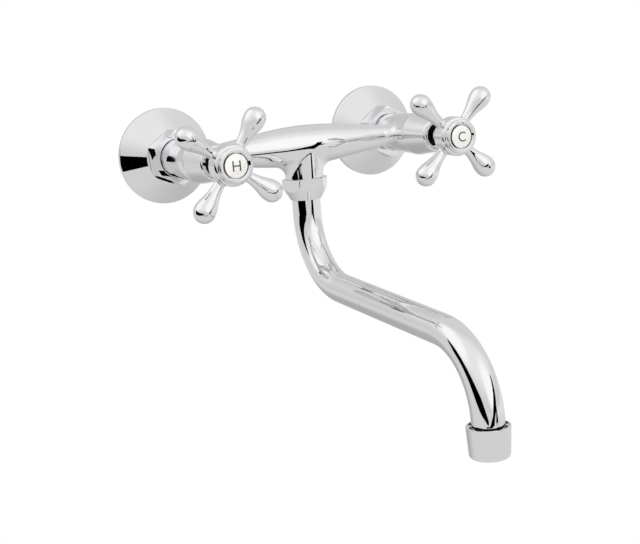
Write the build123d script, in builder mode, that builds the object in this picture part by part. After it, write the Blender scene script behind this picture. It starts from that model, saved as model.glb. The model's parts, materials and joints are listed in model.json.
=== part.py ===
from build123d import *
from math import cos, radians, sin, sqrt
import os

os.makedirs("parts", exist_ok=True)

# Wall-mounted mixer tap, in millimetres. The wall is the plane y = 0 and the tap stands out
# from it along -Y, with +Z up. The origin lies on the wall, midway between the two inlets.
# Distances called "reach" are measured out from the wall along -Y.

# Clearances
running_gap = 0.05
slip_gap = 0.1
face_gap = 0.3

# How far a cutting outline runs past the surface that it opens
cut_past = 1.0

# Small bevel on a turned edge that enters another piece
lead_in = 0.3

# Wall connections: the standard spacing of the two supplies, and the pipe threads
inlet_spacing = 150.0
wall_thread_radius = 10.48
wall_thread_length = 17.0
wall_thread_bore = 7.0
union_thread_radius = 13.22
union_bore = 8.5
union_reach = 20.0
eccentric_offset = 4.0
eccentric_start = 2.0
eccentric_end = 7.0
eccentric_wall = 2.5

# Wall flange
flange_radius = 30.0
flange_rim = 2.6
flange_rim_round = 0.7
flange_small_radius = 16.6
flange_height = 14.7
flange_wall = 1.3
flange_collar = 3.0

# Union nut, its washer and the collared nipple that holds it on the body
union_nut_flats = 30.0
union_nut_length = 12.7
union_nut_chamfer = 1.4
union_nut_turn = 34.0
union_nut_corner = 0.8
union_nut_recess = 1.6
union_nut_recess_gap = 0.9
chamber_entry = 1.0
hex_chamfer_angle = 30.0
union_washer_thickness = 2.0
nipple_collar = 2.4
nipple_radius = 9.5
nipple_thread_radius = 8.3
nipple_thread_length = 7.0
nipple_bore = 6.0

# Valve chambers of the body
chamber_back_radius = 12.0
chamber_front_radius = 13.2
chamber_length = 38.8
chamber_back_round = 1.6
chamber_front_round = 0.5
seat_depth = 10.8
seat_port = 5.5
cavity_radius = 9.2
valve_thread_radius = 10.48
valve_thread_length = 9.5

# Bridge between the chambers: a bar that swells towards its middle
bridge_from_chamber_back = 18.6
bridge_middle_radius = 12.7
bridge_crown_radius = 200.0
bridge_crown_half = 25.0
bridge_bore = 4.5
bridge_blend = 6.0

# Boss under the bridge, where the spout turns
boss_radius = 12.1
boss_bottom = 20.0
boss_blend = 8.0
boss_thread_radius = 10.48
boss_thread_length = 6.0
boss_socket_depth = 14.5
boss_passage = 6.0

# Ceramic headwork
seat_seal_thickness = 1.5
seat_seal_radius = 8.2
disc_radius = 7.45
disc_thickness = 2.6
disc_port_inner = 2.2
disc_port_outer = 6.2
disc_port_angle = 70.0
cage_radius = 8.8
window_height = 6.4
window_width = 9.0
window_gap = 0.4
drive_blade_thickness = 3.0
drive_blade_width = 13.4
drive_blade_depth = 1.2
spindle_plate_thickness = 2.4
spindle_radius = 4.0
headwork_flats = 18.6
headwork_hex_height = 5.2
headwork_flange_thickness = 1.8
headwork_washer_thickness = 1.0
headwork_washer_radius = 11.4
headwork_neck_radius = 7.0
headwork_neck_length = 6.5
spindle_ring_depth = 1.2
spindle_ring_height = 1.9
spindle_ring_below_neck_top = 6.0

# Circlip that keeps the spindle in
circlip_thickness = 0.9
circlip_radius = 5.4
circlip_groove_radius = 3.35
circlip_opening = 60.0

# Bonnet over the headwork
bonnet_back_radius = 13.3
bonnet_front_radius = 10.4
bonnet_wall = 1.1
bonnet_length = 20.9
bonnet_thread_length = 5.5
bonnet_nose_bore = 7.8
bonnet_edge = 0.4
bonnet_front_round = 1.5

# Cross handle
handle_clearance = 0.6
hub_neck_radius = 5.8
hub_neck_length = 7.5
hub_neck_bore = 4.4
hub_flare = 5.5
hub_flare_round = 4.0
hub_radius = 12.0
hub_length = 23.5
hub_front_round = 1.8
hub_web = 1.6
hub_recess_radius = 9.0
hub_recess_depth = 2.6
arm_from_hub_back = 16.65
arm_circle = 30.55
arm_waist_radius = 3.1
arm_middle_radius = 4.35
arm_ball_radius = 6.5
arm_waist_at = 9.0
arm_middle_at = 21.0
arm_count = 4
arm_blend = 1.5
handle_turns = {"hot": 8.86, "cold": 0.95}

# Splined top of the spindle
spline_teeth = 20
spline_root = 3.55
spline_length = 10.5

# Handle screw
screw_radius = 2.0
screw_length = 11.0
screw_head_radius = 3.8
screw_head_height = 2.0
screw_slot_width = 1.0
screw_slot_depth = 0.9

# Index ring and index disc on the handle
index_ring_radius = 10.5
index_ring_height = 3.2
index_ring_round = 1.1
index_ring_bore = 4.6
index_ring_bevel = 1.0
index_disc_groove = 0.4
index_spigot_length = 2.2
index_disc_radius = 7.2
index_disc_thickness = 2.0
index_disc_dome = 0.8

# Spout tail: the turned piece that swivels in the boss
tail_radius = 9.0
tail_length = 19.0
tail_bore = 6.0
tail_top_gap = 0.5
tail_spigot_length = 6.0
tail_ring_depth = 1.7
tail_ring_height = 2.4
tail_ring_spacing = 4.4
tail_ring_from_top = 4.2
tail_ring_count = 2
retainer_thickness = 1.9
retainer_groove_depth = 0.9
retainer_radius = 10.2
retainer_opening = 12.0

# Spout nut
spout_nut_flats = 26.0
spout_nut_radius = 14.9
spout_nut_height = 13.2
spout_nut_band = 4.2
spout_nut_top_edge = 0.3
spout_nut_foot_radius = 9.9
spout_nut_turn = -8.6
spout_nut_corner = 0.6

# Spout tube
spout_tube_radius = 9.0
spout_tube_wall = 1.0
spout_reach = 192.0
spout_bend_radius = 43.0
spout_slope = 3.6
spout_upper_straight = 12.0
spout_lower_straight = 9.0

# Outlet
collar_thread_radius = 10.4
collar_length = 7.0
collar_lip = 1.5
housing_radius = 12.0
housing_foot_radius = 10.9
housing_rim_wall = 0.95
housing_height = 17.4
housing_rise = 1.8
housing_floor = 1.7
housing_opening = 8.2
housing_round = 2.2
housing_top_edge = 0.3
outlet_washer_thickness = 1.8
outlet_washer_bore = 7.5
straightener_radius = 9.2
straightener_hole = 0.85
straightener_rows = 3
straightener_first_row = 6
straightener_pitch = 2.3

# Places along the valve axis, as reach from the wall
union_nut_back = flange_height + face_gap
union_nut_front = union_nut_back + union_nut_length
chamber_back = union_nut_front - chamber_entry
nipple_collar_front = union_reach + union_washer_thickness + nipple_collar
chamber_front = chamber_back + chamber_length
seat_reach = chamber_back + seat_depth
bridge_reach = chamber_back + bridge_from_chamber_back
fixed_disc_back = seat_reach + seat_seal_thickness
turning_disc_back = fixed_disc_back + disc_thickness
turning_disc_front = turning_disc_back + disc_thickness
window_back = turning_disc_front + window_gap
plate_back = window_back + window_height
plate_front = plate_back + spindle_plate_thickness
headwork_flange_back = chamber_front + headwork_washer_thickness
headwork_hex_back = headwork_flange_back + headwork_flange_thickness
headwork_hex_front = headwork_hex_back + headwork_hex_height
neck_front = headwork_hex_front + headwork_neck_length
circlip_back = neck_front + face_gap
bonnet_front = chamber_front + bonnet_length
hub_back = bonnet_front + handle_clearance
hub_front = hub_back + hub_length
arm_reach = hub_back + arm_from_hub_back
recess_floor = hub_front - hub_recess_depth
spindle_top = recess_floor - hub_web - face_gap
spline_foot = spindle_top - spline_length
index_ring_front = hub_front + index_ring_height
index_disc_edge = index_ring_front - index_ring_bevel

# Heights of the spout's pieces
spout_nut_top = -boss_bottom - face_gap
spout_nut_foot = spout_nut_top - spout_nut_height
boss_end = -boss_bottom - boss_thread_length
tail_top = boss_end + boss_socket_depth - tail_top_gap
tail_foot = tail_top - tail_length
retainer_top = boss_end - slip_gap
retainer_foot = retainer_top - retainer_thickness
bend_start = tail_foot - spout_upper_straight
bend_rise = spout_bend_radius * cos(radians(spout_slope))
bend_run = spout_bend_radius * (1.0 - sin(radians(spout_slope)))
middle_run = (spout_reach - 2.0 * bend_run) / cos(radians(spout_slope))
bend_end = bend_start - 2.0 * bend_rise - middle_run * sin(radians(spout_slope))
tube_end = bend_end - spout_lower_straight
collar_foot = tube_end - collar_lip
collar_top = collar_foot + collar_length
housing_top = collar_top + housing_rise
housing_foot = housing_top - housing_height
housing_inner_floor = housing_foot + housing_floor
outlet_washer_foot = collar_foot - outlet_washer_thickness
outlet_reach = bridge_reach + spout_reach

sides = {"hot": -inlet_spacing / 2.0, "cold": inlet_spacing / 2.0}


def save(part, name):
    """Label one finished piece and write it to its own file."""
    part.label = name
    export_step(part, f"parts/{name}.step")


def across(x, reach, z=0.0):
    """The plane square to a valve axis, at this reach, seen from in front of the tap."""
    return Plane(origin=(x, -reach, z), x_dir=(1, 0, 0), z_dir=(0, -1, 0))


def along(x, z=0.0):
    """The plane through a valve axis for turned profiles: local x is radius, local y is reach."""
    return Plane(origin=(x, 0, z), x_dir=(1, 0, 0), z_dir=(0, 0, -1))


def valve_axis(x):
    return Axis((x, 0, 0), (0, -1, 0))


def upright(reach):
    """The plane through an upright axis for turned profiles: local x is radius, local y is height."""
    return Plane(origin=(0, -reach, 0), x_dir=(1, 0, 0), z_dir=(0, -1, 0))


def upright_axis(reach):
    return Axis((0, -reach, 0), (0, 0, 1))


def star(teeth, root, tip):
    """Corner points of a toothed outline that alternates between its root and its tip radius."""
    points = []
    for step in range(2 * teeth):
        radius = tip if step % 2 else root
        turn = radians(180.0 * step / teeth)
        points.append((radius * cos(turn), radius * sin(turn)))
    return points


# Eccentric wall connector: its wall thread sits below the axis of its union thread
def make_wall_connector(name, x):
    with BuildPart() as connector:
        with BuildSketch(across(x, -wall_thread_length, -eccentric_offset)):
            Circle(wall_thread_radius)
        extrude(amount=wall_thread_length + eccentric_start)
        with BuildSketch(across(x, eccentric_start)):
            Circle(union_thread_radius)
            with Locations((0, -eccentric_offset)):
                Circle(wall_thread_bore + eccentric_wall)
            make_hull()
        extrude(amount=eccentric_end - eccentric_start)
        with BuildSketch(across(x, eccentric_end)):
            Circle(union_thread_radius)
        extrude(amount=union_reach - eccentric_end)
        chamfer(connector.faces().sort_by(Axis.Y)[-1].edges(), lead_in)
        with BuildSketch(across(x, -wall_thread_length, -eccentric_offset)):
            Circle(wall_thread_bore)
        extrude(amount=wall_thread_length + eccentric_end, mode=Mode.SUBTRACT)
        with BuildSketch(across(x, eccentric_end - eccentric_wall)):
            Circle(union_bore)
        extrude(amount=union_reach - eccentric_end + eccentric_wall, mode=Mode.SUBTRACT)
    save(connector.part, name + "_wall_connector")


# Wall flange: a thin cone that slides on the connector and hides the hole in the wall
def make_wall_flange(name, x):
    slope = (flange_radius - flange_small_radius) / (flange_height - flange_rim)
    inside_front = flange_height - flange_collar
    collar_bore = union_thread_radius + slip_gap
    inside_front_radius = flange_small_radius + slope * flange_collar - 2.0 * flange_wall
    with BuildPart() as flange:
        with BuildSketch(along(x)) as profile:
            with BuildLine():
                Polyline(
                    (flange_radius - flange_wall, 0),
                    (flange_radius, 0),
                    (flange_radius, flange_rim),
                    (flange_small_radius, flange_height),
                    (collar_bore, flange_height),
                    (collar_bore, inside_front),
                    (inside_front_radius, inside_front),
                    (flange_radius - flange_wall, flange_rim - flange_wall / 2.0),
                    close=True,
                )
            make_face()
            fillet(profile.vertices().group_by(Axis.X)[-1].sort_by(Axis.Y)[-1], flange_rim_round)
        revolve(axis=valve_axis(x))
    save(flange.part, name + "_wall_flange")


# Hexagonal nut, turned down at both ends so that its corners are rounded. The back of the
# valve chamber enters a recess in its front with a clearance that shows as a dark ring
def make_union_nut(name, x):
    corner = union_nut_flats / sqrt(3.0)
    flat = union_nut_flats / 2.0
    end_radius = corner - union_nut_chamfer
    chamfer_run = union_nut_chamfer * sin(radians(hex_chamfer_angle))
    with BuildPart() as nut:
        with BuildSketch(across(x, union_nut_back)) as outline:
            RegularPolygon(flat, 6, major_radius=False, rotation=union_nut_turn)
            fillet(outline.vertices(), union_nut_corner)
        extrude(amount=union_nut_length)
        with BuildSketch(along(x)):
            with BuildLine():
                Polyline(
                    (0, union_nut_back),
                    (end_radius, union_nut_back),
                    (corner, union_nut_back + chamfer_run),
                    (corner, union_nut_front - chamfer_run),
                    (end_radius, union_nut_front),
                    (0, union_nut_front),
                    close=True,
                )
            make_face()
        revolve(axis=valve_axis(x), mode=Mode.INTERSECT)
        with BuildSketch(across(x, union_nut_back)):
            Circle(union_thread_radius)
        extrude(amount=nipple_collar_front - union_nut_back, mode=Mode.SUBTRACT)
        with BuildSketch(across(x, union_nut_back)):
            Circle(nipple_radius + slip_gap)
        extrude(amount=union_nut_length, mode=Mode.SUBTRACT)
        with BuildSketch(across(x, union_nut_front - union_nut_recess)):
            Circle(chamber_back_radius + union_nut_recess_gap)
        extrude(amount=union_nut_recess, mode=Mode.SUBTRACT)
    save(nut.part, name + "_union_nut")


def make_union_washer(name, x):
    with BuildPart() as washer:
        with BuildSketch(across(x, union_reach)):
            Circle(union_thread_radius - face_gap)
            Circle(nipple_bore, mode=Mode.SUBTRACT)
        extrude(amount=union_washer_thickness)
    save(washer.part, name + "_union_washer")


# Inlet nipple: screwed into the chamber from behind, with a collar that the nut pulls on
def make_inlet_nipple(name, x):
    collar_back = union_reach + union_washer_thickness
    with BuildPart() as nipple:
        with BuildSketch(across(x, collar_back)):
            Circle(union_thread_radius - face_gap)
        extrude(amount=nipple_collar)
        with BuildSketch(across(x, collar_back)):
            Circle(nipple_radius)
        extrude(amount=chamber_back - collar_back)
        with BuildSketch(across(x, chamber_back)):
            Circle(nipple_thread_radius)
        extrude(amount=nipple_thread_length - face_gap)
        with BuildSketch(across(x, collar_back)):
            Circle(nipple_bore)
        extrude(amount=chamber_back + nipple_thread_length - collar_back, mode=Mode.SUBTRACT)
    save(nipple.part, name + "_inlet_nipple")


# Body: two valve chambers, the swelling bridge between them and the boss for the spout
def make_body():
    half = inlet_spacing / 2.0
    crown_centre = bridge_middle_radius - bridge_crown_radius
    crown_edge = crown_centre + sqrt(bridge_crown_radius**2 - bridge_crown_half**2)
    taper = bridge_crown_half / sqrt(bridge_crown_radius**2 - bridge_crown_half**2)
    end_radius = crown_edge - taper * (half - bridge_crown_half)
    bridge_axis = Axis((0, -bridge_reach, 0), (1, 0, 0))
    with BuildPart() as body:
        with BuildSketch(upright(bridge_reach)):
            with BuildLine():
                crown = ThreePointArc(
                    (-bridge_crown_half, crown_edge),
                    (0, bridge_middle_radius),
                    (bridge_crown_half, crown_edge),
                )
                Polyline(crown @ 1, (half, end_radius), (half, 0), (-half, 0), (-half, end_radius), crown @ 0)
            make_face()
        revolve(axis=bridge_axis)
        with BuildSketch(Plane.XY.offset(-boss_bottom)):
            with Locations((0, -bridge_reach)):
                Circle(boss_radius)
        extrude(amount=boss_bottom)
        fillet(body.edges(Select.NEW), boss_blend)
        for x in sides.values():
            with BuildSketch(along(x)):
                with BuildLine():
                    Polyline(
                        (0, chamber_back),
                        (chamber_back_radius, chamber_back),
                        (chamber_front_radius, chamber_front),
                        (0, chamber_front),
                        close=True,
                    )
                make_face()
            revolve(axis=valve_axis(x))
            fillet(body.edges(Select.NEW), bridge_blend)
        rims = body.edges().filter_by(GeomType.CIRCLE).group_by(Axis.Y)
        fillet(rims[-1], chamber_back_round)
        fillet(rims[0], chamber_front_round)
        for x in sides.values():
            with BuildSketch(across(x, chamber_back)):
                Circle(nipple_thread_radius)
            extrude(amount=nipple_thread_length, mode=Mode.SUBTRACT)
            with BuildSketch(across(x, chamber_back)):
                Circle(seat_port)
            extrude(amount=seat_depth, mode=Mode.SUBTRACT)
            with BuildSketch(across(x, seat_reach)):
                Circle(cavity_radius)
            extrude(amount=chamber_front - seat_reach, mode=Mode.SUBTRACT)
            with BuildSketch(across(x, chamber_front - valve_thread_length)):
                Circle(valve_thread_radius)
            extrude(amount=valve_thread_length, mode=Mode.SUBTRACT)
        with BuildSketch(Plane.YZ.offset(-half)):
            with Locations((-bridge_reach, 0)):
                Circle(bridge_bore)
        extrude(amount=inlet_spacing, mode=Mode.SUBTRACT)
        with BuildSketch(Plane.XY.offset(boss_end)):
            with Locations((0, -bridge_reach)):
                Circle(boss_thread_radius)
        extrude(amount=boss_thread_length)
        with BuildSketch(Plane.XY.offset(boss_end)):
            with Locations((0, -bridge_reach)):
                Circle(tail_radius + running_gap)
        extrude(amount=boss_socket_depth, mode=Mode.SUBTRACT)
        with BuildSketch(Plane.XY.offset(boss_end)):
            with Locations((0, -bridge_reach)):
                Circle(boss_passage)
        extrude(amount=-boss_end, mode=Mode.SUBTRACT)
    save(body.part, "body_casting")


# Two sector ports on opposite sides of a ceramic disc
def disc_ports(x, back, turn):
    with BuildSketch(across(x, back)) as ports:
        for start in (turn - disc_port_angle / 2.0, turn + 180.0 - disc_port_angle / 2.0):
            with BuildLine():
                outer = CenterArc((0, 0), disc_port_outer, start, disc_port_angle)
                inner = CenterArc((0, 0), disc_port_inner, start, disc_port_angle)
                Line(outer @ 0, inner @ 0)
                Line(outer @ 1, inner @ 1)
            make_face()
    return ports.sketch


# The fixed disc's ports lie left and right, and the turning disc's ports above and below,
# so the valve is shut at rest and fully open after a quarter turn
def make_fixed_disc(name, x):
    ports = disc_ports(x, fixed_disc_back, 0.0)
    with BuildPart() as disc:
        with BuildSketch(across(x, fixed_disc_back)):
            Circle(disc_radius)
        extrude(amount=disc_thickness)
        extrude(ports, amount=disc_thickness, mode=Mode.SUBTRACT)
    save(disc.part, name + "_fixed_disc")


def make_turning_disc(name, x):
    ports = disc_ports(x, turning_disc_back, 90.0)
    with BuildPart() as disc:
        with BuildSketch(across(x, turning_disc_back)):
            Circle(disc_radius)
        extrude(amount=disc_thickness)
        extrude(ports, amount=disc_thickness, mode=Mode.SUBTRACT)
        with BuildSketch(across(x, turning_disc_front - drive_blade_depth)):
            Rectangle(2.0 * disc_radius, drive_blade_thickness + 2.0 * running_gap)
        extrude(amount=drive_blade_depth, mode=Mode.SUBTRACT)
    save(disc.part, name + "_turning_disc")


def make_seat_seal(name, x):
    with BuildPart() as seal:
        with BuildSketch(across(x, seat_reach)):
            Circle(seat_seal_radius)
            Circle(disc_port_outer, mode=Mode.SUBTRACT)
        extrude(amount=seat_seal_thickness)
    save(seal.part, name + "_seat_seal")


# Headwork: brass housing with a windowed cage, the valve thread, a hexagon and a threaded neck
def make_headwork(name, x):
    with BuildPart() as headwork:
        with BuildSketch(across(x, fixed_disc_back)):
            Circle(cage_radius)
        extrude(amount=neck_front - fixed_disc_back - headwork_neck_length)
        with BuildSketch(across(x, chamber_front - valve_thread_length + face_gap)):
            Circle(valve_thread_radius)
        extrude(amount=headwork_flange_back - chamber_front + valve_thread_length - face_gap)
        with BuildSketch(across(x, headwork_flange_back)):
            Circle(headwork_washer_radius)
        extrude(amount=headwork_flange_thickness)
        with BuildSketch(across(x, headwork_hex_back)):
            RegularPolygon(headwork_flats / 2.0, 6, major_radius=False)
        extrude(amount=headwork_hex_height)
        with BuildSketch(across(x, headwork_hex_front)):
            Circle(headwork_neck_radius)
        extrude(amount=headwork_neck_length)
        with BuildSketch(across(x, fixed_disc_back)):
            Circle(disc_radius + running_gap)
        extrude(amount=plate_front + slip_gap - fixed_disc_back, mode=Mode.SUBTRACT)
        with BuildSketch(across(x, plate_front)):
            Circle(spindle_radius + running_gap)
        extrude(amount=neck_front - plate_front, mode=Mode.SUBTRACT)
        with BuildSketch(across(x, window_back)):
            Rectangle(2.0 * (cage_radius + cut_past), window_width)
        extrude(amount=window_height, mode=Mode.SUBTRACT)
    save(headwork.part, name + "_headwork")


def make_headwork_washer(name, x):
    with BuildPart() as washer:
        with BuildSketch(across(x, chamber_front)):
            Circle(headwork_washer_radius)
            Circle(valve_thread_radius, mode=Mode.SUBTRACT)
        extrude(amount=headwork_washer_thickness)
    save(washer.part, name + "_headwork_washer")


# Spindle: a blade in the turning disc's slot, a plate that bears in the headwork, a stem with
# grooves for its seal and circlip, and a splined top with a tapped hole for the handle screw
def make_spindle(name, x):
    ring_middle = neck_front - spindle_ring_below_neck_top
    ring_foot = ring_middle - spindle_ring_height / 2.0
    with BuildPart() as spindle:
        with BuildSketch(across(x, turning_disc_front - drive_blade_depth)):
            Rectangle(drive_blade_width, drive_blade_thickness)
        extrude(amount=plate_back - turning_disc_front + drive_blade_depth)
        with BuildSketch(across(x, plate_back)):
            Circle(disc_radius)
        extrude(amount=spindle_plate_thickness)
        with BuildSketch(across(x, plate_front)):
            Circle(spindle_radius)
        extrude(amount=spline_foot - plate_front)
        with BuildSketch(across(x, spline_foot)):
            with BuildLine():
                Polyline(*star(spline_teeth, spline_root, spindle_radius), close=True)
            make_face()
        extrude(amount=spline_length)
        with BuildSketch(across(x, ring_foot)):
            Circle(spindle_radius + cut_past)
            Circle(spindle_radius - spindle_ring_depth, mode=Mode.SUBTRACT)
        extrude(amount=spindle_ring_height, mode=Mode.SUBTRACT)
        with BuildSketch(across(x, circlip_back)):
            Circle(spindle_radius + cut_past)
            Circle(circlip_groove_radius, mode=Mode.SUBTRACT)
        extrude(amount=circlip_thickness, mode=Mode.SUBTRACT)
        with BuildSketch(across(x, spindle_top - screw_length)):
            Circle(screw_radius)
        extrude(amount=screw_length, mode=Mode.SUBTRACT)
    save(spindle.part, name + "_spindle")


def make_spindle_ring(name, x):
    ring_middle = neck_front - spindle_ring_below_neck_top
    section = spindle_ring_depth / 2.0
    with BuildPart() as ring:
        with BuildSketch(along(x)):
            with Locations((spindle_radius - section, ring_middle)):
                Circle(section)
        revolve(axis=valve_axis(x))
    save(ring.part, name + "_spindle_o_ring")


def make_circlip(name, x):
    with BuildPart() as circlip:
        with BuildSketch(across(x, circlip_back)):
            Circle(circlip_radius)
            Circle(circlip_groove_radius, mode=Mode.SUBTRACT)
            with BuildLine():
                reach = 2.0 * circlip_radius
                spread = reach * sin(radians(circlip_opening / 2.0))
                Polyline((0, 0), (spread, reach), (-spread, reach), close=True)
            make_face(mode=Mode.SUBTRACT)
        extrude(amount=circlip_thickness)
    save(circlip.part, name + "_circlip")


# Bonnet: the polished cone that hides the headwork and screws onto its neck. Its open nose
# leaves a dark ring behind the slim neck of the handle
def make_bonnet(name, x):
    thread_foot = neck_front - bonnet_thread_length
    taper = (bonnet_back_radius - bonnet_front_radius) / bonnet_length
    cavity_end = bonnet_back_radius - bonnet_wall - taper * (thread_foot - chamber_front)
    with BuildPart() as bonnet:
        with BuildSketch(along(x)) as profile:
            with BuildLine():
                Polyline(
                    (bonnet_back_radius - bonnet_wall, chamber_front),
                    (bonnet_back_radius - bonnet_edge, chamber_front),
                    (bonnet_back_radius - taper * bonnet_edge, chamber_front + bonnet_edge),
                    (bonnet_front_radius, bonnet_front),
                    (bonnet_nose_bore, bonnet_front),
                    (bonnet_nose_bore, neck_front),
                    (headwork_neck_radius, neck_front),
                    (headwork_neck_radius, thread_foot),
                    (cavity_end, thread_foot),
                    close=True,
                )
            make_face()
            fillet(profile.vertices().group_by(Axis.Y)[-1].sort_by(Axis.X)[-1], bonnet_front_round)
        revolve(axis=valve_axis(x))
    save(bonnet.part, name + "_bonnet")


# Cross handle: a turned hub with a slim neck and four club-shaped arms, splined to the spindle
def make_cross_handle(name, x):
    with BuildPart() as handle:
        with BuildSketch(along(x)) as profile:
            with BuildLine():
                Polyline(
                    (0, hub_back),
                    (hub_neck_radius, hub_back),
                    (hub_neck_radius, hub_back + hub_neck_length),
                    (hub_radius, hub_back + hub_neck_length + hub_flare),
                    (hub_radius, hub_front),
                    (0, hub_front),
                    close=True,
                )
            make_face()
            fillet(profile.vertices().group_by(Axis.X)[-1].sort_by(Axis.Y)[0], hub_flare_round)
            fillet(profile.vertices().group_by(Axis.Y)[-1].sort_by(Axis.X)[-1], hub_front_round)
        revolve(axis=valve_axis(x))
        for step in range(arm_count):
            turn = radians(handle_turns[name] + 360.0 * (step + 0.5) / arm_count)
            outward = (cos(turn), 0, sin(turn))
            centre = (x, -arm_reach, 0)
            with BuildSketch(Plane(origin=centre, x_dir=outward, z_dir=(sin(turn), 0, -cos(turn)))):
                with BuildLine():
                    flank = Spline(
                        (arm_waist_at, arm_waist_radius),
                        (arm_middle_at, arm_middle_radius),
                        (arm_circle, arm_ball_radius),
                        tangents=((1, 0), (1, 0)),
                    )
                    tip = CenterArc((arm_circle, 0), arm_ball_radius, 0, 90)
                    Polyline(flank @ 0, (arm_waist_at, 0), tip @ 0)
                make_face()
            revolve(axis=Axis(centre, outward))
            fillet(handle.edges(Select.NEW), arm_blend)
        with BuildSketch(across(x, recess_floor)):
            Circle(hub_recess_radius)
        extrude(amount=hub_recess_depth, mode=Mode.SUBTRACT)
        with BuildSketch(across(x, spline_foot)):
            with BuildLine():
                Polyline(*star(spline_teeth, spline_root + slip_gap, spindle_radius + slip_gap), close=True)
            make_face()
        extrude(amount=spline_length + face_gap, mode=Mode.SUBTRACT)
        with BuildSketch(across(x, hub_back)):
            Circle(hub_neck_bore)
        extrude(amount=spline_foot + face_gap - hub_back, mode=Mode.SUBTRACT)
        with BuildSketch(across(x, hub_back)):
            Circle(screw_radius + slip_gap)
        extrude(amount=hub_length, mode=Mode.SUBTRACT)
    save(handle.part, name + "_cross_handle")


def make_handle_screw(name, x):
    with BuildPart() as screw:
        with BuildSketch(across(x, recess_floor)):
            Circle(screw_head_radius)
        extrude(amount=screw_head_height)
        with BuildSketch(across(x, recess_floor - screw_length)):
            Circle(screw_radius)
        extrude(amount=screw_length)
        with BuildSketch(across(x, recess_floor + screw_head_height - screw_slot_depth)):
            Rectangle(2.0 * screw_head_radius, screw_slot_width)
        extrude(amount=screw_slot_depth, mode=Mode.SUBTRACT)
    save(screw.part, name + "_handle_screw")


# Index ring: the bright bezel on the hub, screwed into its recess. A bevel leads down to the
# well that holds the disc, and a narrow groove is left around the disc
def make_index_ring(name, x):
    disc_back = index_disc_edge - index_disc_thickness
    spigot_foot = hub_front - index_spigot_length
    well_radius = index_disc_radius + index_disc_groove
    with BuildPart() as ring:
        with BuildSketch(along(x)) as profile:
            with BuildLine():
                Polyline(
                    (index_ring_bore, spigot_foot),
                    (hub_recess_radius, spigot_foot),
                    (hub_recess_radius, hub_front),
                    (index_ring_radius, hub_front),
                    (index_ring_radius, index_ring_front),
                    (well_radius + index_ring_bevel, index_ring_front),
                    (well_radius, index_disc_edge),
                    (well_radius, disc_back),
                    (index_ring_bore, disc_back),
                    close=True,
                )
            make_face()
            fillet(profile.vertices().group_by(Axis.X)[-1].sort_by(Axis.Y)[-1], index_ring_round)
        revolve(axis=valve_axis(x))
    save(ring.part, name + "_index_ring")


def make_index_disc(name, x):
    disc_back = index_disc_edge - index_disc_thickness
    dome_radius = (index_disc_radius**2 + index_disc_dome**2) / (2.0 * index_disc_dome)
    with BuildPart() as disc:
        with BuildSketch(along(x)):
            with BuildLine():
                dome = RadiusArc(
                    (0, index_disc_edge + index_disc_dome),
                    (index_disc_radius, index_disc_edge),
                    dome_radius,
                )
                Polyline(dome @ 1, (index_disc_radius, disc_back), (0, disc_back), dome @ 0)
            make_face()
        revolve(axis=valve_axis(x))
    save(disc.part, name + "_index_disc")


# Spout tail: turned brass, grooved for two O-rings and the retaining ring, brazed to the tube
def make_spout_tail():
    with BuildPart() as tail:
        with BuildSketch(Plane.XY.offset(tail_foot)):
            with Locations((0, -bridge_reach)):
                Circle(tail_radius)
        extrude(amount=tail_length)
        with BuildSketch(Plane.XY.offset(tail_foot)):
            with Locations((0, -bridge_reach)):
                Circle(spout_tube_radius - spout_tube_wall)
        extrude(amount=-tail_spigot_length)
        for step in range(tail_ring_count):
            groove_top = tail_top - tail_ring_from_top - step * tail_ring_spacing
            with BuildSketch(Plane.XY.offset(groove_top - tail_ring_height)):
                with Locations((0, -bridge_reach)):
                    Circle(tail_radius + cut_past)
                    Circle(tail_radius - tail_ring_depth, mode=Mode.SUBTRACT)
            extrude(amount=tail_ring_height, mode=Mode.SUBTRACT)
        with BuildSketch(Plane.XY.offset(retainer_foot)):
            with Locations((0, -bridge_reach)):
                Circle(tail_radius + cut_past)
                Circle(tail_radius - retainer_groove_depth, mode=Mode.SUBTRACT)
        extrude(amount=retainer_thickness, mode=Mode.SUBTRACT)
        with BuildSketch(Plane.XY.offset(tail_foot - tail_spigot_length)):
            with Locations((0, -bridge_reach)):
                Circle(tail_bore)
        extrude(amount=tail_length + tail_spigot_length, mode=Mode.SUBTRACT)
        chamfer(tail.faces().sort_by(Axis.Z)[-1].outer_wire().edges(), lead_in)
    save(tail.part, "spout_tail")


def make_spout_rings():
    section = tail_ring_depth / 2.0
    with BuildPart() as rings:
        for step in range(tail_ring_count):
            groove_top = tail_top - tail_ring_from_top - step * tail_ring_spacing
            with BuildSketch(upright(bridge_reach)):
                with Locations((tail_radius - section, groove_top - tail_ring_height / 2.0)):
                    Circle(section)
            revolve(axis=upright_axis(bridge_reach))
    save(rings.part, "spout_o_rings")


def make_retaining_ring():
    with BuildPart() as ring:
        with BuildSketch(Plane.XY.offset(retainer_foot)):
            with Locations((0, -bridge_reach)):
                Circle(retainer_radius)
                Circle(tail_radius - retainer_groove_depth, mode=Mode.SUBTRACT)
            with BuildLine():
                reach = 2.0 * retainer_radius
                spread = reach * sin(radians(retainer_opening / 2.0))
                Polyline(
                    (0, -bridge_reach),
                    (spread, reach - bridge_reach),
                    (-spread, reach - bridge_reach),
                    close=True,
                )
            make_face(mode=Mode.SUBTRACT)
        extrude(amount=retainer_thickness)
    save(ring.part, "spout_retaining_ring")


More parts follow.
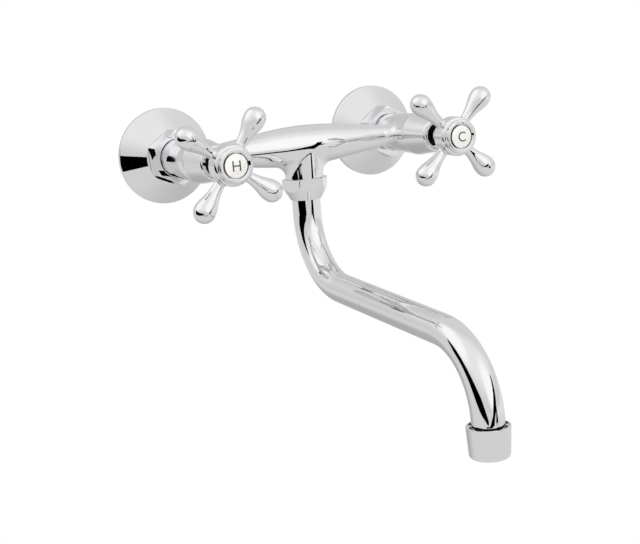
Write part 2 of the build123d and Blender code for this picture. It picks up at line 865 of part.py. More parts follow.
# Spout nut: a hexagon whose lower half is turned to a cone, so each flat ends in an arc
def make_spout_nut():
    shoulder = retainer_foot - slip_gap
    with BuildPart() as nut:
        with BuildSketch(Plane.XY.offset(spout_nut_foot)) as outline:
            with Locations((0, -bridge_reach)):
                RegularPolygon(spout_nut_flats / 2.0, 6, major_radius=False, rotation=spout_nut_turn)
            fillet(outline.vertices(), spout_nut_corner)
        extrude(amount=spout_nut_height)
        with BuildSketch(upright(bridge_reach)):
            with BuildLine():
                Polyline(
                    (0, spout_nut_top),
                    (spout_nut_radius - spout_nut_top_edge, spout_nut_top),
                    (spout_nut_radius, spout_nut_top - spout_nut_top_edge),
                    (spout_nut_radius, spout_nut_top - spout_nut_band),
                    (spout_nut_foot_radius, spout_nut_foot),
                    (0, spout_nut_foot),
                    close=True,
                )
            make_face()
        revolve(axis=upright_axis(bridge_reach), mode=Mode.INTERSECT)
        with BuildSketch(Plane.XY.offset(shoulder)):
            with Locations((0, -bridge_reach)):
                Circle(boss_thread_radius)
        extrude(amount=spout_nut_top - shoulder, mode=Mode.SUBTRACT)
        with BuildSketch(Plane.XY.offset(spout_nut_foot)):
            with Locations((0, -bridge_reach)):
                Circle(tail_radius + slip_gap)
        extrude(amount=spout_nut_height, mode=Mode.SUBTRACT)
    save(nut.part, "spout_nut")


# Spout tube: down from the nut, forward on a slight fall, and down again to the outlet
def make_spout_tube():
    with BuildPart() as tube:
        with BuildLine(Plane.YZ) as route:
            upper = Line((-bridge_reach, tail_foot), (-bridge_reach, bend_start))
            first = JernArc(upper @ 1, upper % 1, spout_bend_radius, spout_slope - 90.0)
            middle = Line(first @ 1, first @ 1 + (first % 1) * middle_run)
            second = JernArc(middle @ 1, middle % 1, spout_bend_radius, 90.0 - spout_slope)
            Line(second @ 1, (-outlet_reach, tube_end))
        with BuildSketch(Plane.XY.offset(tail_foot)):
            with Locations((0, -bridge_reach)):
                Circle(spout_tube_radius)
                Circle(spout_tube_radius - spout_tube_wall, mode=Mode.SUBTRACT)
        sweep(path=route.wire())
    save(tube.part, "spout_tube")


def make_outlet_collar():
    with BuildPart() as collar:
        with BuildSketch(Plane.XY.offset(collar_foot)):
            with Locations((0, -outlet_reach)):
                Circle(collar_thread_radius)
                Circle(spout_tube_radius - spout_tube_wall, mode=Mode.SUBTRACT)
        extrude(amount=collar_length)
        with BuildSketch(Plane.XY.offset(tube_end)):
            with Locations((0, -outlet_reach)):
                Circle(spout_tube_radius)
        extrude(amount=collar_length - collar_lip, mode=Mode.SUBTRACT)
    save(collar.part, "outlet_collar")


# Outlet housing: a polished cup that narrows downwards, screwed over the collar
def make_outlet_housing():
    with BuildPart() as housing:
        with BuildSketch(upright(outlet_reach)) as profile:
            with BuildLine():
                Polyline(
                    (housing_opening, housing_foot),
                    (housing_foot_radius, housing_foot),
                    (housing_radius, housing_top),
                    (housing_radius - housing_rim_wall, housing_top),
                    (housing_radius - housing_rim_wall, collar_top),
                    (collar_thread_radius, collar_top),
                    (collar_thread_radius, outlet_washer_foot),
                    (straightener_radius, outlet_washer_foot),
                    (straightener_radius, housing_inner_floor),
                    (housing_opening, housing_inner_floor),
                    close=True,
                )
            make_face()
            fillet(profile.vertices().group_by(Axis.Y)[0].sort_by(Axis.X)[-1], housing_round)
            fillet(profile.vertices().group_by(Axis.Y)[-1].sort_by(Axis.X)[-1], housing_top_edge)
        revolve(axis=upright_axis(outlet_reach))
    save(housing.part, "outlet_housing")


def make_outlet_washer():
    with BuildPart() as washer:
        with BuildSketch(Plane.XY.offset(outlet_washer_foot)):
            with Locations((0, -outlet_reach)):
                Circle(collar_thread_radius - slip_gap)
                Circle(outlet_washer_bore, mode=Mode.SUBTRACT)
        extrude(amount=outlet_washer_thickness)
    save(washer.part, "outlet_washer")


# Flow straightener: a plug with rings of small holes
def make_flow_straightener():
    with BuildPart() as plug:
        with BuildSketch(Plane.XY.offset(housing_inner_floor)):
            with Locations((0, -outlet_reach)):
                Circle(straightener_radius - slip_gap)
                Circle(straightener_hole, mode=Mode.SUBTRACT)
                for row in range(1, straightener_rows + 1):
                    with PolarLocations(row * straightener_pitch, straightener_first_row * row):
                        Circle(straightener_hole, mode=Mode.SUBTRACT)
        extrude(amount=outlet_washer_foot - housing_inner_floor)
    save(plug.part, "flow_straightener")


for side, side_x in sides.items():
    make_wall_connector(side, side_x)
    make_wall_flange(side, side_x)
    make_union_nut(side, side_x)
    make_union_washer(side, side_x)
    make_inlet_nipple(side, side_x)
    make_seat_seal(side, side_x)
    make_fixed_disc(side, side_x)
    make_turning_disc(side, side_x)
    make_headwork(side, side_x)
    make_headwork_washer(side, side_x)
    make_spindle(side, side_x)
    make_spindle_ring(side, side_x)
    make_circlip(side, side_x)
    make_bonnet(side, side_x)
    make_cross_handle(side, side_x)
    make_handle_screw(side, side_x)
    make_index_ring(side, side_x)
    make_index_disc(side, side_x)

make_body()
make_spout_tail()
make_spout_rings()
make_retaining_ring()
make_spout_nut()
make_spout_tube()
make_outlet_collar()
make_outlet_housing()
make_outlet_washer()
make_flow_straightener()
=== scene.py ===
"""Finishes and studio for a wall-mounted mixer tap with two cross handles.

Everything is in metres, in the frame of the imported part: the wall is the plane y = 0, the tap
stands out along -Y, and +Z is up. Hot is on the left for a person who faces the tap.
"""

import json
import math

import bmesh
import bpy
from bpy.props import FloatProperty, FloatVectorProperty, IntProperty, PointerProperty
from mathutils import Matrix, Vector


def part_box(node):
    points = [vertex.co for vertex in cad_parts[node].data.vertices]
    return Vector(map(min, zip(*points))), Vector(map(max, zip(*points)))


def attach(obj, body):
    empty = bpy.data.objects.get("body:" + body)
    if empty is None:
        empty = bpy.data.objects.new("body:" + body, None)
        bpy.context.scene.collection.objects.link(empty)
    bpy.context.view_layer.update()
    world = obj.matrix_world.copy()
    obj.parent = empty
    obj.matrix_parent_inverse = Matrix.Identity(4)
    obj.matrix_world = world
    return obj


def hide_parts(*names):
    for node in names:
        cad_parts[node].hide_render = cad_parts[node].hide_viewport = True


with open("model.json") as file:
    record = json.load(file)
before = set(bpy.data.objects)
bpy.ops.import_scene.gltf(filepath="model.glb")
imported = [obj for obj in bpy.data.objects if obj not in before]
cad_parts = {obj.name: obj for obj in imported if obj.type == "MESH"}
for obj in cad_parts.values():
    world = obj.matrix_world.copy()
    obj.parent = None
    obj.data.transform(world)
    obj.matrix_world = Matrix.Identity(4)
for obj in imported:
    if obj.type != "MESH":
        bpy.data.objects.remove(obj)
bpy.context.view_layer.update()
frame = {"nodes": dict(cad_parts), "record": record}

bl_info = {
    "name": "Mixer Tap Finishes",
    "version": (1, 0, 0),
    "blender": (4, 5, 0),
    "location": "View3D > Sidebar > Tap",
    "description": "Plates, threads and marks a wall-mounted mixer tap and sets up its studio",
    "category": "Object",
}

MM = 0.001
ALONG_Y = (0.0, 1.0, 0.0)
ALONG_Z = (0.0, 0.0, 1.0)
SIDES = {"hot": -1.0, "cold": 1.0}
INDEX_MARKS = {"hot": "H", "cold": "C"}

hot_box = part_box("hot_index_disc")
cold_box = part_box("cold_index_disc")
HALF_SPACING = (cold_box[0].x + cold_box[1].x - hot_box[0].x - hot_box[1].x) / 4.0
INDEX_RADIUS = (hot_box[1].x - hot_box[0].x) / 2.0
INDEX_FRONT = -hot_box[0].y
THREAD_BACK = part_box("hot_wall_connector")[1].y


class ChromeSettings(bpy.types.PropertyGroup):
    """Sizes and colours of the plated finish."""

    tint: FloatVectorProperty(
        name="Chrome tint", description="Colour of the clean plate", subtype="COLOR",
        default=(0.842, 0.838, 0.852), min=0.0, max=1.0)
    deep_tint: FloatVectorProperty(
        name="Chrome deep tint", description="Colour where the plate is a little thicker",
        subtype="COLOR", default=(0.80, 0.796, 0.812), min=0.0, max=1.0)
    roughness: FloatProperty(
        name="Roughness", description="Roughness of the buffed plate",
        default=0.022, min=0.0, max=1.0)
    haze: FloatProperty(
        name="Haze", description="Extra roughness in faint wiping marks",
        default=0.03, min=0.0, max=1.0)
    haze_scale: FloatProperty(
        name="Haze scale", description="How close the wiping marks lie", default=170.0, min=0.0)
    wave: FloatProperty(
        name="Wave height", description="Height of the soft waves that buffing leaves",
        default=0.012 * MM, unit="LENGTH")
    wave_scale: FloatProperty(
        name="Wave scale", description="How close the soft waves lie", default=34.0, min=0.0)
    bounce: FloatProperty(
        name="Bounce roughness", default=0.7, min=0.0, max=1.0,
        description="Roughness of the plate where it only lights duller stuff")


class ThreadSettings(bpy.types.PropertyGroup):
    """Sizes of the pipe thread on the wall connectors."""

    pitch: FloatProperty(
        name="Pitch", description="Distance from one thread to the next",
        default=1.814 * MM, unit="LENGTH")
    crest_radius: FloatProperty(
        name="Crest radius", description="Outer radius of the thread",
        default=10.45 * MM, unit="LENGTH")
    depth: FloatProperty(
        name="Depth", description="Height of the thread over its root",
        default=0.88 * MM, unit="LENGTH")
    axis_drop: FloatProperty(
        name="Axis drop", description="How far the wall thread lies below the valve axis",
        default=4.0 * MM, unit="LENGTH")
    start: FloatProperty(
        name="Start", description="Distance behind the wall plane where the thread begins",
        default=1.6 * MM, unit="LENGTH")
    points: IntProperty(
        name="Points", description="Points in one turn of the thread", default=56, min=12)


class IndexSettings(bpy.types.PropertyGroup):
    """Sizes and colours of the index discs and their marks."""

    glaze: FloatVectorProperty(
        name="Glaze", description="Colour of the glazed disc", subtype="COLOR",
        default=(0.93, 0.92, 0.885), min=0.0, max=1.0)
    ink: FloatVectorProperty(
        name="Ink", description="Colour of the fired mark", subtype="COLOR",
        default=(0.045, 0.042, 0.04), min=0.0, max=1.0)
    rim_line: FloatProperty(
        name="Rim line", description="Width of the dark line round the disc",
        default=0.35 * MM, unit="LENGTH")
    mark_height: FloatProperty(
        name="Mark height", description="Height of the letter", default=6.0 * MM, unit="LENGTH")
    mark_rise: FloatProperty(
        name="Mark rise", description="How far the fired mark stands over the glaze",
        default=0.05 * MM, unit="LENGTH")
    dome: FloatProperty(
        name="Dome", description="Rise of the disc's middle over its edge",
        default=0.8 * MM, unit="LENGTH")


class StudioSettings(bpy.types.PropertyGroup):
    """Place of the camera and the light, and tones of the surroundings."""

    camera_place: FloatVectorProperty(
        name="Camera place", description="Where the camera stands", unit="LENGTH",
        default=(-0.3802, -0.8145, 0.0772))
    camera_turn: FloatProperty(
        name="Camera turn", description="Turn of the view to the right of straight at the wall",
        default=math.radians(26.64), subtype="ANGLE")
    camera_dip: FloatProperty(
        name="Camera dip", description="How far the view looks down",
        default=math.radians(10.46), subtype="ANGLE")
    camera_roll: FloatProperty(
        name="Camera roll", description="Lean of the camera about its view",
        default=math.radians(-4.60), subtype="ANGLE")
    lens: FloatProperty(
        name="Lens", description="Focal length in millimetres", default=77.06, min=1.0)
    sensor: FloatProperty(
        name="Sensor", description="Width of the camera's sensor in millimetres",
        default=36.0, min=1.0)
    floor_height: FloatProperty(
        name="Floor height", description="Height of the pale floor", default=-0.32, unit="LENGTH")
    floor_tint: FloatVectorProperty(
        name="Floor tint", description="Colour of the floor in the plate", subtype="COLOR",
        default=(0.76, 0.75, 0.735), min=0.0, max=1.0)
    # Painted light: in the plate the floor grows lighter far to the right
    floor_far_light: FloatVectorProperty(
        name="Floor far", description="Colour of the floor in the plate, far to the right",
        subtype="COLOR", default=(0.88, 0.87, 0.86), min=0.0, max=1.0)
    floor_shade: FloatVectorProperty(
        name="Floor shade", description="Colour in the plate of the soft shadow behind the tap",
        subtype="COLOR", default=(0.47, 0.47, 0.48), min=0.0, max=1.0)
    shade_place: FloatVectorProperty(
        name="Shade place", description="Middle of the soft shadow on the floor", unit="LENGTH",
        default=(0.06, 0.36, 0.0))
    key_glow: FloatProperty(
        name="Key glow", description="Brightness of the tent's lit parts in the plate",
        default=1.14, min=0.0)
    sky_glow: FloatProperty(
        name="Sky glow", description="Brightness of the tent's top in the plate",
        default=0.95, min=0.0)
    foot_glow: FloatProperty(
        name="Foot glow", description="Brightness of the tent's foot in the plate",
        default=0.72, min=0.0)
    dim_glow: FloatProperty(
        name="Dim glow", description="Brightness in the plate of the shaded upper right",
        default=0.76, min=0.0)
    wall_glow: FloatProperty(
        name="Wall glow", description="Brightness in the plate of the shaded side beyond the wall",
        default=0.64, min=0.0)
    soft_glow: FloatProperty(
        name="Soft glow", description="Brightness of the tent for all that isn't plated",
        default=0.78, min=0.0)
    light_place: FloatVectorProperty(
        name="Light place", description="Where the soft light hangs", unit="LENGTH",
        default=(-0.7, -0.9, 0.9))
    light_size: FloatVectorProperty(
        name="Light size", description="Width and height of the soft light", unit="LENGTH",
        size=2, default=(0.9, 0.7))
    light_power: FloatProperty(
        name="Light power", description="Power of the soft light in watts", default=9.0, min=0.0)


def add_node(tree, kind, inputs=None, **settings):
    """Add a node, set its options, and set or link its inputs."""
    made = tree.nodes.new(kind)
    for name, value in settings.items():
        setattr(made, name, value)
    for socket, value in (inputs or {}).items():
        if isinstance(value, bpy.types.NodeSocket):
            tree.links.new(value, made.inputs[socket])
        else:
            made.inputs[socket].default_value = value
    return made


def add_sockets(tree, direction, sockets):
    """Give a node group its inputs or outputs, each with a name and a kind."""
    for name, kind in sockets:
        tree.interface.new_socket(name=name, in_out=direction, socket_type=f"NodeSocket{kind}")


def build_polish(tree):
    """Buffed metal: broad soft waves, and faint wiping marks that raise the roughness."""
    add_sockets(tree, "INPUT", [
        ("Vector", "Vector"), ("Roughness", "Float"), ("Haze", "Float"),
        ("Haze Scale", "Float"), ("Wave Scale", "Float")])
    add_sockets(tree, "OUTPUT", [("Roughness", "Float"), ("Height", "Float")])
    given = tree.nodes.new("NodeGroupInput")
    waves = add_node(tree, "ShaderNodeTexNoise", {
        "Vector": given.outputs["Vector"], "Scale": given.outputs["Wave Scale"],
        "Detail": 1.0, "Roughness": 0.4})
    stretch = (1.0, 0.35, 0.35)
    streaks = add_node(tree, "ShaderNodeVectorMath", {
        0: given.outputs["Vector"], 1: stretch}, operation="MULTIPLY")
    wipes = add_node(tree, "ShaderNodeTexNoise", {
        "Vector": streaks.outputs["Vector"], "Scale": given.outputs["Haze Scale"],
        "Detail": 4.0, "Roughness": 0.6})
    marks = add_node(tree, "ShaderNodeMapRange", {
        "Value": wipes.outputs["Fac"], "From Min": 0.52, "From Max": 0.82})
    extra = add_node(tree, "ShaderNodeMath", {
        0: marks.outputs["Result"], 1: given.outputs["Haze"]}, operation="MULTIPLY")
    total = add_node(tree, "ShaderNodeMath", {
        0: extra.outputs[0], 1: given.outputs["Roughness"]}, operation="ADD")
    add_node(tree, "NodeGroupOutput", {
        "Roughness": total.outputs[0], "Height": waves.outputs["Fac"]})


def build_turning(tree):
    """Lathe marks: fine rings square to the axis a piece was turned about."""
    add_sockets(tree, "INPUT", [
        ("Vector", "Vector"), ("Axis", "Vector"), ("Feed Scale", "Float"),
        ("Roughness", "Float"), ("Spread", "Float")])
    add_sockets(tree, "OUTPUT", [("Roughness", "Float"), ("Height", "Float")])
    given = tree.nodes.new("NodeGroupInput")
    along = add_node(tree, "ShaderNodeVectorMath", {
        0: given.outputs["Vector"], 1: given.outputs["Axis"]}, operation="DOT_PRODUCT")
    rings = add_node(tree, "ShaderNodeTexNoise", {
        "W": along.outputs["Value"], "Scale": given.outputs["Feed Scale"],
        "Detail": 3.0, "Roughness": 0.7}, noise_dimensions="1D")
    spread = add_node(tree, "ShaderNodeMath", {
        0: rings.outputs["Fac"], 1: given.outputs["Spread"]}, operation="MULTIPLY")
    total = add_node(tree, "ShaderNodeMath", {
        0: spread.outputs[0], 1: given.outputs["Roughness"]}, operation="ADD")
    add_node(tree, "NodeGroupOutput", {
        "Roughness": total.outputs[0], "Height": rings.outputs["Fac"]})


def build_grain(tree):
    """Moulded or fired stuff: a mask of soft clouds, and the height of a fine grain."""
    add_sockets(tree, "INPUT", [
        ("Vector", "Vector"), ("Grain Scale", "Float"), ("Cloud Scale", "Float")])
    add_sockets(tree, "OUTPUT", [("Mask", "Float"), ("Height", "Float")])
    given = tree.nodes.new("NodeGroupInput")
    clouds = add_node(tree, "ShaderNodeTexNoise", {
        "Vector": given.outputs["Vector"], "Scale": given.outputs["Cloud Scale"], "Detail": 3.0})
    grain = add_node(tree, "ShaderNodeTexNoise", {
        "Vector": given.outputs["Vector"], "Scale": given.outputs["Grain Scale"], "Detail": 2.0})
    mask = add_node(tree, "ShaderNodeMapRange", {
        "Value": clouds.outputs["Fac"], "From Min": 0.35, "From Max": 0.65})
    add_node(tree, "NodeGroupOutput", {
        "Mask": mask.outputs["Result"], "Height": grain.outputs["Fac"]})


def add_effect(tree, name, build, inputs):
    """Put an effect in a material. Its node group is built when it is first asked for."""
    group = bpy.data.node_groups.get(name)
    if group is None:
        group = bpy.data.node_groups.new(name, "ShaderNodeTree")
        build(group)
    return add_node(tree, "ShaderNodeGroup", inputs, node_tree=group)


def new_material(name):
    """An empty node material, with its tree, its shader and the object coordinates."""
    material = bpy.data.materials.new(name)
    material.use_nodes = True
    tree = material.node_tree
    tree.nodes.clear()
    place = tree.nodes.new("ShaderNodeTexCoord")
    shader = tree.nodes.new("ShaderNodeBsdfPrincipled")
    add_node(tree, "ShaderNodeOutputMaterial", {"Surface": shader.outputs["BSDF"]})
    return material, tree, shader, place.outputs["Object"]


def blend_colours(tree, mask, first, second):
    """First where the mask is 0 and second where it is 1. Each is a colour or a socket."""
    mixed = add_node(tree, "ShaderNodeMix", {"Factor": mask}, data_type="RGBA")
    for name, colour in {"A": first, "B": second}.items():
        if isinstance(colour, bpy.types.NodeSocket):
            tree.links.new(colour, mixed.inputs[name])
        else:
            mixed.inputs[name].default_value = (*colour, 1.0)
    return mixed.outputs["Result"]


def mix_values(tree, mask, first, second):
    """First where the mask is 0 and second where it is 1. Each is a number or a socket."""
    mixed = add_node(tree, "ShaderNodeMapRange", {
        "Value": mask, "To Min": first, "To Max": second})
    return mixed.outputs["Result"]


def raise_bumps(tree, shader, height, distance):
    """Show a height as bumps, which stand up by this distance where the height is 1."""
    bump = add_node(tree, "ShaderNodeBump", {
        "Height": height, "Distance": distance, "Strength": 1.0})
    tree.links.new(bump.outputs["Normal"], shader.inputs["Normal"])


def plated_material(name, settings):
    """Chrome plate over buffed brass."""
    material, tree, shader, place = new_material(name)
    polish = add_effect(tree, "buffed_polish", build_polish, {
        "Vector": place, "Roughness": settings.roughness, "Haze": settings.haze,
        "Haze Scale": settings.haze_scale, "Wave Scale": settings.wave_scale})
    waves = polish.outputs["Height"]
    colour = blend_colours(tree, waves, settings.tint, settings.deep_tint)
    tree.links.new(colour, shader.inputs["Base Color"])
    path = tree.nodes.new("ShaderNodeLightPath")
    softened = add_node(tree, "ShaderNodeMath", {
        0: path.outputs["Is Diffuse Ray"], 1: settings.bounce}, operation="MULTIPLY")
    roughness = add_node(tree, "ShaderNodeMath", {
        0: polish.outputs["Roughness"], 1: softened.outputs[0]}, operation="MAXIMUM")
    tree.links.new(roughness.outputs[0], shader.inputs["Roughness"])
    shader.inputs["Metallic"].default_value = 1.0
    raise_bumps(tree, shader, waves, settings.wave)
    return material


def turned_material(name, light, dark, roughness, axis):
    """Metal left as it came off the lathe."""
    groove_depth = 0.012 * MM
    material, tree, shader, place = new_material(name)
    marks = add_effect(tree, "turning_marks", build_turning, {
        "Vector": place, "Axis": axis, "Feed Scale": 5200.0,
        "Roughness": roughness, "Spread": roughness})
    rings = marks.outputs["Height"]
    colour = blend_colours(tree, rings, light, dark)
    tree.links.new(colour, shader.inputs["Base Color"])
    tree.links.new(marks.outputs["Roughness"], shader.inputs["Roughness"])
    shader.inputs["Metallic"].default_value = 1.0
    raise_bumps(tree, shader, rings, groove_depth)
    return material


def moulded_material(name, colour, cloud_colour, roughness, height=0.01 * MM, coat=0.0, soft=0.0):
    """Rubber, plastic or fired clay, a little duller in its soft clouds of another colour."""
    cloud_roughness = 1.25 * roughness
    material, tree, shader, place = new_material(name)
    grain = add_effect(tree, "moulded_grain", build_grain, {
        "Vector": place, "Grain Scale": 2600.0, "Cloud Scale": 90.0})
    clouds = grain.outputs["Mask"]
    clouded = blend_colours(tree, clouds, colour, cloud_colour)
    tree.links.new(clouded, shader.inputs["Base Color"])
    varied = mix_values(tree, clouds, roughness, cloud_roughness)
    tree.links.new(varied, shader.inputs["Roughness"])
    shader.inputs["Coat Weight"].default_value = coat
    shader.inputs["Coat Roughness"].default_value = 0.04
    shader.inputs["Subsurface Weight"].default_value = soft
    shader.inputs["Subsurface Radius"].default_value = (1.0, 0.8, 0.6)
    shader.inputs["Subsurface Scale"].default_value = 0.5 * MM
    raise_bumps(tree, shader, grain.outputs["Height"], height)
    return material


def nodes_of_slot(slot):
    """The frame's pieces that the record gives this finish."""
    rows = frame["record"]["subparts"]
    return [frame["nodes"][row["node"]] for row in rows if row["material_slot"] == slot]


def body_of_node(name):
    """The body that a frame piece rides on."""
    bodies = frame["record"]["behaviour"]["bodies"]
    return next(body for body, nodes in bodies.items() if name in nodes)


def dress(pieces, material):
    """Give some of the frame's pieces a material."""
    for piece in pieces:
        for slot in piece.material_slots:
            slot.material = material


def link_mesh(name, mesh):
    """A new object in the scene with this mesh."""
    piece = bpy.data.objects.new(name, mesh)
    bpy.context.scene.collection.objects.link(piece)
    return piece


def evaluated_mesh(thing):
    """A plain mesh of an object as its curve or its modifiers shape it."""
    bpy.context.view_layer.update()
    shaped = thing.evaluated_get(bpy.context.evaluated_depsgraph_get())
    return bpy.data.meshes.new_from_object(shaped)


def mesh_of_curve(curve):
    """A plain mesh of a curve or a text."""
    holder = bpy.data.objects.new(curve.name, curve)
    bpy.context.scene.collection.objects.link(holder)
    mesh = evaluated_mesh(holder)
    bpy.data.objects.remove(holder)
    return mesh


def merged_copy(node_name, mesh_name):
    """A copy of a frame piece's mesh with its loose triangles joined up."""
    mesh = bpy.data.meshes.new(mesh_name)
    shape = bmesh.new()
    shape.from_mesh(frame["nodes"][node_name].data)
    bmesh.ops.remove_doubles(shape, verts=shape.verts, dist=0.001 * MM)
    shape.to_mesh(mesh)
    shape.free()
    return mesh


def smooth_by_angle(mesh, angle):
    """Shade a mesh smooth, but for edges that are sharper than the angle."""
    mesh.polygons.foreach_set("use_smooth", [True] * len(mesh.polygons))
    mesh.set_sharp_from_angle(angle=angle)


def thread_tree():
    """Geometry nodes that wind a pipe thread along +Y and fade it out at both ends."""
    half, fade_start, end_size = 0.5, 0.44, 0.12
    tree = bpy.data.node_groups.new("pipe_thread", "GeometryNodeTree")
    add_sockets(tree, "INPUT", [
        ("Geometry", "Geometry"), ("Turns", "Float"), ("Length", "Float"),
        ("Root Radius", "Float"), ("Depth", "Float"), ("Points", "Int"),
        ("Start", "Vector"), ("Material", "Material")])
    add_sockets(tree, "OUTPUT", [("Geometry", "Geometry")])
    given = tree.nodes.new("NodeGroupInput")
    helix = add_node(tree, "GeometryNodeCurveSpiral", {
        "Resolution": given.outputs["Points"], "Rotations": given.outputs["Turns"],
        "Start Radius": given.outputs["Root Radius"], "End Radius": given.outputs["Root Radius"],
        "Height": given.outputs["Length"]})
    upright = add_node(tree, "GeometryNodeSetCurveNormal", {
        "Curve": helix.outputs["Curve"]}, mode="Z_UP")
    along = tree.nodes.new("GeometryNodeSplineParameter")
    from_middle = add_node(tree, "ShaderNodeMath", {
        0: along.outputs["Factor"], 1: half}, operation="SUBTRACT")
    off_middle = add_node(tree, "ShaderNodeMath", {
        0: from_middle.outputs[0]}, operation="ABSOLUTE")
    fade = add_node(tree, "ShaderNodeMapRange", {
        "Value": off_middle.outputs[0], "From Min": half, "From Max": fade_start,
        "To Min": end_size, "To Max": 1.0})
    # Four points make a square that stands on its corner, which gives the thread its V
    ridge = add_node(tree, "GeometryNodeCurvePrimitiveCircle", {
        "Resolution": 4, "Radius": given.outputs["Depth"]})
    wound = add_node(tree, "GeometryNodeCurveToMesh", {
        "Curve": upright.outputs["Curve"], "Profile Curve": ridge.outputs["Curve"],
        "Scale": fade.outputs["Result"], "Fill Caps": True})
    placed = add_node(tree, "GeometryNodeTransform", {
        "Geometry": wound.outputs["Mesh"], "Translation": given.outputs["Start"],
        "Rotation": (-math.pi / 2.0, 0.0, 0.0)})
    joined = tree.nodes.new("GeometryNodeJoinGeometry")
    tree.links.new(placed.outputs["Geometry"], joined.inputs["Geometry"])
    tree.links.new(given.outputs["Geometry"], joined.inputs["Geometry"])
    real = add_node(tree, "GeometryNodeRealizeInstances", {
        "Geometry": joined.outputs["Geometry"]})
    finished = add_node(tree, "GeometryNodeSetMaterial", {
        "Geometry": real.outputs["Geometry"], "Material": given.outputs["Material"]})
    add_node(tree, "NodeGroupOutput", {"Geometry": finished.outputs["Geometry"]})
    return tree


def run_tree(piece, tree, values):
    """Run a geometry tree on a piece with these named inputs, and keep the result as its mesh."""
    modifier = piece.modifiers.new(tree.name, "NODES")
    modifier.node_group = tree
    names = {s.name: s.identifier for s in tree.interface.items_tree if s.in_out == "INPUT"}
    for name, value in values.items():
        modifier[names[name]] = value
    piece.update_tag()
    mesh = evaluated_mesh(piece)
    piece.modifiers.remove(modifier)
    piece.data = mesh
    return mesh


def turn_down(mesh, centre_x, centre_z, radius):
    """Turn the outside of a connector behind the wall down to the thread's root."""
    bore_limit = 0.8 * radius
    for vertex in mesh.vertices:
        off = Vector((vertex.co.x - centre_x, vertex.co.z - centre_z))
        if vertex.co.y > 0.0 and off.length > bore_limit:
            off = off.normalized() * min(radius, off.length)
            vertex.co.x = centre_x + off.x
            vertex.co.z = centre_z + off.y


class TAP_OT_plate(bpy.types.Operator):
    """Give the body, handles, nuts, flanges and spout their chrome plate"""

    bl_idname = "tap.plate"
    bl_label = "Chrome Plate"

    def execute(self, context):
        dress(nodes_of_slot("chrome"), plated_material("chrome_plate", context.scene.tap_chrome))
        return {"FINISHED"}


class TAP_OT_wall_connectors(bpy.types.Operator):
    """Cut the pipe thread on both wall connectors and give them their plain plate"""

    bl_idname = "tap.wall_connectors"
    bl_label = "Wall Connectors"

    def execute(self, context):
        sizes = context.scene.tap_thread
        finish = turned_material(
            "plain_plate", light=(0.74, 0.75, 0.76), dark=(0.60, 0.61, 0.63), roughness=0.2,
            axis=ALONG_Y)
        tree = thread_tree()
        root_radius = sizes.crest_radius - sizes.depth
        length = THREAD_BACK - sizes.start - sizes.pitch
        if length <= sizes.pitch:
            raise RuntimeError("The wall connector is too short for its thread")
        for side, sign in SIDES.items():
            node_name = f"{side}_wall_connector"
            name = f"{side}_threaded_connector"
            mesh = merged_copy(node_name, name)
            turn_down(mesh, sign * HALF_SPACING, -sizes.axis_drop, root_radius)
            piece = link_mesh(name, mesh)
            threaded = run_tree(piece, tree, {
                "Turns": length / sizes.pitch, "Length": length, "Root Radius": root_radius,
                "Depth": sizes.depth, "Points": sizes.points, "Material": finish,
                "Start": (sign * HALF_SPACING, sizes.start, -sizes.axis_drop)})
            smooth_by_angle(threaded, angle=math.radians(30.0))
            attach(piece, body_of_node(node_name))
            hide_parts(node_name)
        return {"FINISHED"}


class TAP_OT_inner_metal(bpy.types.Operator):
    """Finish the turned brass and the small steel pieces inside the tap, with painted shade on the
    brass deep in each handle's neck and in the outlet's collar
    """

    bl_idname = "tap.inner_metal"
    bl_label = "Inner Brass and Steel"

    def execute(self, context):
        brass = {"light": (0.80, 0.63, 0.33), "dark": (0.66, 0.49, 0.23), "roughness": 0.16}
        # Painted shade: near black brass for pieces that sit deep between others, so that they read
        # as dark gaps
        painted_shade = {"light": (0.10, 0.085, 0.06), "dark": (0.05, 0.042, 0.03), "roughness": 0.42}
        valve_brass = turned_material("valve_brass", axis=ALONG_Y, **brass)
        spout_brass = turned_material("spout_brass", axis=ALONG_Z, **brass)
        dull_valve_brass = turned_material("dull_valve_brass", axis=ALONG_Y, **painted_shade)
        dull_spout_brass = turned_material("dull_spout_brass", axis=ALONG_Z, **painted_shade)
        steel = turned_material(
            "stainless_steel", light=(0.63, 0.63, 0.64), dark=(0.47, 0.47, 0.48), roughness=0.18,
            axis=ALONG_Y)
        dress(nodes_of_slot("steel"), steel)
        for piece in nodes_of_slot("turned_brass"):
            on_spout = body_of_node(piece.name) == "spout"
            dress([piece], spout_brass if on_spout else valve_brass)
        # Painted shade on the outlet's collar, deep inside its housing
        dress([frame["nodes"]["outlet_collar"]], dull_spout_brass)
        # Painted shade on the headwork, spindle and circlip in the neck under each handle
        for side in SIDES:
            in_the_nose = [f"{side}_{name}" for name in ("headwork", "spindle", "circlip")]
            dress([frame["nodes"][name] for name in in_the_nose], dull_valve_brass)
        return {"FINISHED"}


class TAP_OT_seals(bpy.types.Operator):
    """Finish the rubber seals, the plastic pieces and the ceramic discs inside the tap"""

    bl_idname = "tap.seals"
    bl_label = "Seals and Discs"

    def execute(self, context):
        rubber = moulded_material(
            "seal_rubber", colour=(0.030, 0.030, 0.031), cloud_colour=(0.052, 0.051, 0.050),
            roughness=0.48)
        plastic = moulded_material(
            "white_acetal", colour=(0.84, 0.84, 0.81), cloud_colour=(0.78, 0.78, 0.75),
            roughness=0.34, soft=0.15)
        ceramic = moulded_material(
            "lapped_ceramic", colour=(0.88, 0.87, 0.83), cloud_colour=(0.83, 0.82, 0.78),
            roughness=0.12, height=0.002 * MM)
        dress(nodes_of_slot("seal_rubber"), rubber)
        dress(nodes_of_slot("white_plastic"), plastic)
        dress(nodes_of_slot("disc_ceramic"), ceramic)
        return {"FINISHED"}


